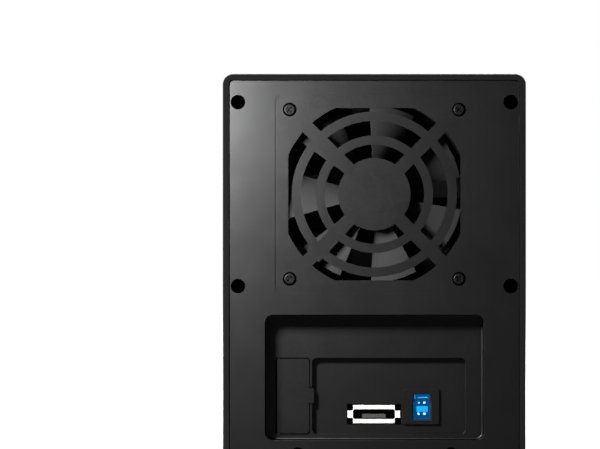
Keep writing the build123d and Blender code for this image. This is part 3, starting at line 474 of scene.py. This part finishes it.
def ribbon():
    """Grey flat cable with rounded wires, the first one red."""
    look = Look("ribbon_cable")
    x = look.axis("X")
    wave = look.math("SINE", look.math("MULTIPLY", x, 2 * math.pi / RIBBON_PITCH))
    red = look.math("LESS_THAN", x, RED_WIRE_X)
    base = look.mix(look.noise(300.0), [0.3, 0.3, 0.32], [0.4, 0.4, 0.42])
    look.set(
        Base_Color=look.mix(red, base, [0.5, 0.03, 0.03]),
        Roughness=look.spread(look.noise(500.0), 0.4, 0.55),
    )
    return look.bump(wave, 8e-5).material


def fan_plastic(name, shade):
    """Glass-filled moulding, with faint flow marks and a film of dust."""
    look = satin_black(name, shade, 0.62, grain=1300.0, grain_depth=4e-6, level=0.25, edge=0.1)
    flow = look.streaks((120.0, 500.0, 120.0), detail=4.0, rough=0.6)
    return look.bump(flow, 6e-6).material


def frosted_lens():
    """A milky clear moulding."""
    look = Look("frosted_lens")
    milk = look.noise(1800.0)
    look.set(
        Base_Color=look.mix(milk, [0.6, 0.75, 0.85], [0.75, 0.88, 0.95]),
        Transmission_Weight=0.5,
        Roughness=look.spread(milk, 0.25, 0.4),
        IOR=1.49,
    )
    return look.bump(milk, 6e-6).material


def lamp_chip():
    """Small lamps: the first one green and the others blue."""
    look = Look("lamp_chip")
    first = look.math("LESS_THAN", look.axis("X"), FIRST_LAMP_X)
    glow = look.mix(first, [0.05, 0.35, 1.0], [0.1, 0.9, 0.3])
    grain = look.noise(3000.0)
    look.set(Base_Color=look.mix(grain, glow, [0.9, 0.9, 0.8]), Roughness=look.spread(grain, 0.3, 0.5))
    return look.bump(grain, 5e-6).material


PANEL = panel_black()
TEXTURED = textured_black()
SILVER = silver_plastic()
STEEL = brushed_steel()
BOARD = circuit_board("circuit_board", (0.006, 0.075, 0.035), (0.009, 0.105, 0.05), (0.03, 0.22, 0.1))
BLACK_BOARD = circuit_board(
    "black_lacquer", (0.001, 0.001, 0.0012), (0.002, 0.002, 0.0022), (0.006, 0.006, 0.006)
)
NYLON = satin_black(
    "black_nylon", 0.004, 0.4, grain=1800.0, grain_depth=3e-6, edge=0.15, bevel=0.0001
).material
SLEEVE = satin_black("sleeve_paint", 0.008, 0.5, grain=1500.0, grain_depth=3e-6, edge=0.04).material
LOOKS = {
    "outer_sleeve": SLEEVE,
    "rear_panel": panel_black("panel_with_wells", SCREW_WELL_Y),
    "port_tub": PANEL,
    "port_flap": PANEL,
    "flap_pin": STEEL,
    "front_bezel": TEXTURED,
    "control_fascia": gloss_black(),
    "power_button": SILVER,
    "fan_speed_button": SILVER,
    "status_lenses": frosted_lens(),
    "rubber_feet": rubber(),
    "io_bracket": panel_black("bracket_black"),
    "bracket_screws": STEEL,
    "esata_shell": tin_plate(),
    "esata_core": socket_core(),
    "usb_housing": NYLON,
    "usb_insert": blue_insert(),
    "connector_contacts": contact_plate(),
    "power_jack": NYLON,
    "main_board": BOARD,
    "board_standoffs": STEEL,
    "board_screws": STEEL,
    "board_parts": mounted_parts(),
    "backplane_board": BLACK_BOARD,
    "backplane_sockets": NYLON,
    "front_board": BOARD,
    "tact_switches": NYLON,
    "status_lamps": lamp_chip(),
    "panel_ribbon": ribbon(),
    "fan_lead": NYLON,
    # Painted shade: the fan frame is far darker than the rotor's same plastic, so the frame deep behind the
    # grille looks black.
    "fan_frame": fan_plastic("fan_frame_plastic_painted_shade", 0.006),
    "fan_rotor": fan_plastic("fan_rotor_plastic", 0.045),
    "fan_shaft": STEEL,
    "fan_stator": brushed_steel("laminations", 0.2, 0.4, (60.0, 6000.0, 60.0)),
    "fan_screws": black_screw("fan_screw", 0.002, 0.5, 0.2),
    # Black screws darkened further with painted shade, so the deep screw holes show no light.
    "panel_screws": black_screw("deep_screw_painted_shade", 0.001, 0.8, 0.1),
    "base_plate": galvanised(),
    "cage_left": galvanised(),
    "cage_right": galvanised(),
    "cage_top": galvanised(),
}
TRAY = satin_black("tray_moulding", 0.022, 0.5, grain=1100.0, grain_depth=1.6e-5).material
LEVER = satin_black("lever_moulding", 0.028, 0.42, grain=1400.0, grain_depth=1.2e-5).material
for bay in range(1, BAYS + 1):
    LOOKS[f"hard_drive_{bay}"] = drive_case(bay)
    LOOKS[f"drive_tray_{bay}"] = TRAY
    LOOKS[f"tray_lever_{bay}"] = LEVER
    LOOKS[f"tray_release_{bay}"] = SILVER
    LOOKS[f"drive_screws_{bay}"] = STEEL

for node, material in LOOKS.items():
    mesh_object = NODES[node]
    if not mesh_object.material_slots:
        mesh_object.data.materials.append(material)
    for slot in mesh_object.material_slots:
        slot.material = material


# ---------------------------------------------------------------- floor and world
FLOOR_RADIUS, FLOOR_SIDES, FLOOR_Z = 14.0, 64, -0.0002  # a hair below the feet
AIR_LIGHT = 0.004  # how much the white world lights the object


def studio_white():
    """White paper, which looks white to the camera but throws little light back onto the object."""
    look = Look("studio_paper")
    tooth = look.noise(60.0, detail=4.0, rough=0.6)
    seen = look.tree.nodes.new("ShaderNodeLightPath").outputs["Is Camera Ray"]
    away = look.tree.nodes.new("ShaderNodeVectorMath")
    away.operation = "LENGTH"
    look.put(away.inputs[0], look.coord)
    glow = look.span(away.outputs["Value"], 0.5, 2.5, 0.3, 1.0, smooth=True)
    look.set(
        Base_Color=look.mix(seen, grey(0.03), look.mix(tooth, grey(0.9), grey(0.93))),
        Roughness=0.9,
        Specular_IOR_Level=0.1,
        Emission_Color=(1.0, 1.0, 1.0),
        Emission_Strength=look.math("MULTIPLY", seen, glow),
    )
    return look.material


def floor():
    """A wide disc of paper under the tower."""
    ring = [2 * math.pi * k / FLOOR_SIDES for k in range(FLOOR_SIDES)]
    verts = [(FLOOR_RADIUS * math.cos(a), FLOOR_RADIUS * math.sin(a), FLOOR_Z) for a in ring]
    mesh = bpy.data.meshes.new("paper_floor")
    mesh.from_pydata(verts, [], [tuple(range(FLOOR_SIDES))])
    obj = bpy.data.objects.new("paper_floor", mesh)
    obj.data.materials.append(studio_white())
    scene.collection.objects.link(obj)


def studio_air():
    """A world that looks white to the camera and lights the object very little."""
    world = bpy.data.worlds.new("studio")
    world.use_nodes = True
    tree = world.node_tree
    seen = tree.nodes.new("ShaderNodeLightPath").outputs["Is Camera Ray"]
    strength = tree.nodes.new("ShaderNodeMapRange")
    strength.inputs["To Min"].default_value = AIR_LIGHT
    strength.inputs["To Max"].default_value = 1.0
    background = tree.nodes["Background"]
    background.inputs["Color"].default_value = (1.0, 1.0, 1.0, 1.0)
    tree.links.new(seen, strength.inputs["Value"])
    tree.links.new(strength.outputs[0], background.inputs["Strength"])
    scene.world = world


floor()
studio_air()
scene.view_settings.view_transform = "Standard"
scene.view_settings.look = "None"


# ---------------------------------------------------------------- lights and camera
REAR_NODES = """rear_panel port_tub port_flap flap_pin io_bracket esata_shell esata_core usb_housing
usb_insert connector_contacts power_jack fan_screws panel_screws""".split()
FAN_NODES = ["fan_frame", "fan_rotor", "fan_shaft", "fan_stator"]
NEAR_PLACE, NEAR_SOFTNESS = (0.131, 0.2206, 0.169), 0.026
CAMERA_PLACE = (0.0314, REAR_Y + 2.111, 0.1074)
CAMERA_TURN = (math.radians(90.0), 0.0, math.radians(180.0))  # level, looking along -Y
CAMERA_LENS, CAMERA_SENSOR, CAMERA_REACH = 300.0, 36.0, 50.0


def group(name, nodes):
    """A collection that says which pieces a lamp lights, or which shade it."""
    collection = bpy.data.collections.new(name)
    for node in nodes:
        collection.objects.link(NODES[node])
    return collection


def add_lamp(name, data, place, receivers=None, blockers=None):
    """Puts a lamp in the scene. With receivers it lights only these, and only blockers shade it."""
    lamp = bpy.data.objects.new(name, data)
    lamp.location = place
    lamp.visible_camera = False
    if receivers is not None:
        lamp.light_linking.receiver_collection = receivers
    if blockers is not None:
        lamp.light_linking.blocker_collection = blockers
    scene.collection.objects.link(lamp)
    return lamp


def soft_box(name, place, aim, size, watts, receivers=None):
    """A rectangular soft lamp that points at aim."""
    data = bpy.data.lights.new(name, "AREA")
    data.shape = "RECTANGLE"
    data.size, data.size_y = size
    data.energy = watts
    lamp = add_lamp(name, data, place, receivers)
    direction = Vector(aim) - Vector(place)
    lamp.rotation_euler = direction.to_track_quat("-Z", "Y").to_euler()


def near_lamp(name, watts, receivers, blockers=None):
    """The small lamp up beside the rear panel, whose light falls off fast across it."""
    data = bpy.data.lights.new(name, "POINT")
    data.energy = watts
    data.shadow_soft_size = NEAR_SOFTNESS
    add_lamp(name, data, NEAR_PLACE, receivers, blockers)


rear_group = group("rear_pieces", REAR_NODES)
fan_group = group("fan_pieces", FAN_NODES)
sleeve_group = group("sleeve_piece", ["outer_sleeve"])
near_lamp("key", 5.8, rear_group)
near_lamp("fan_key", 2.4, fan_group, fan_group)
# name, place, point aimed at, size, watts, and the pieces lit
soft_box("rear_fill", (0.9, 2.1, 0.1), (0.0, 0.1, 0.1), (0.8, 0.1), 13.0, sleeve_group)
soft_box("overhead", (0.0, -1.0, 1.7), (0.0, -0.6, 0.0), (2.6, 1.6), 95.0)
soft_box("front_fill", (-0.8, -1.3, 1.7), (0.0, -0.1, 0.08), (1.2, 1.2), 56.0)
soft_box("right_fill", (-1.3, -0.1, 1.5), (0.0, 0.0, 0.08), (1.1, 1.1), 34.0)
soft_box("left_fill", (1.3, -0.3, 1.5), (0.0, 0.0, 0.08), (1.1, 1.1), 34.0)

camera_data = bpy.data.cameras.new("camera")
camera_data.lens = CAMERA_LENS
camera_data.sensor_width = CAMERA_SENSOR
camera_data.clip_end = CAMERA_REACH
camera = bpy.data.objects.new("camera", camera_data)
camera.location = CAMERA_PLACE
camera.rotation_euler = CAMERA_TURN
scene.collection.objects.link(camera)
scene.camera = camera
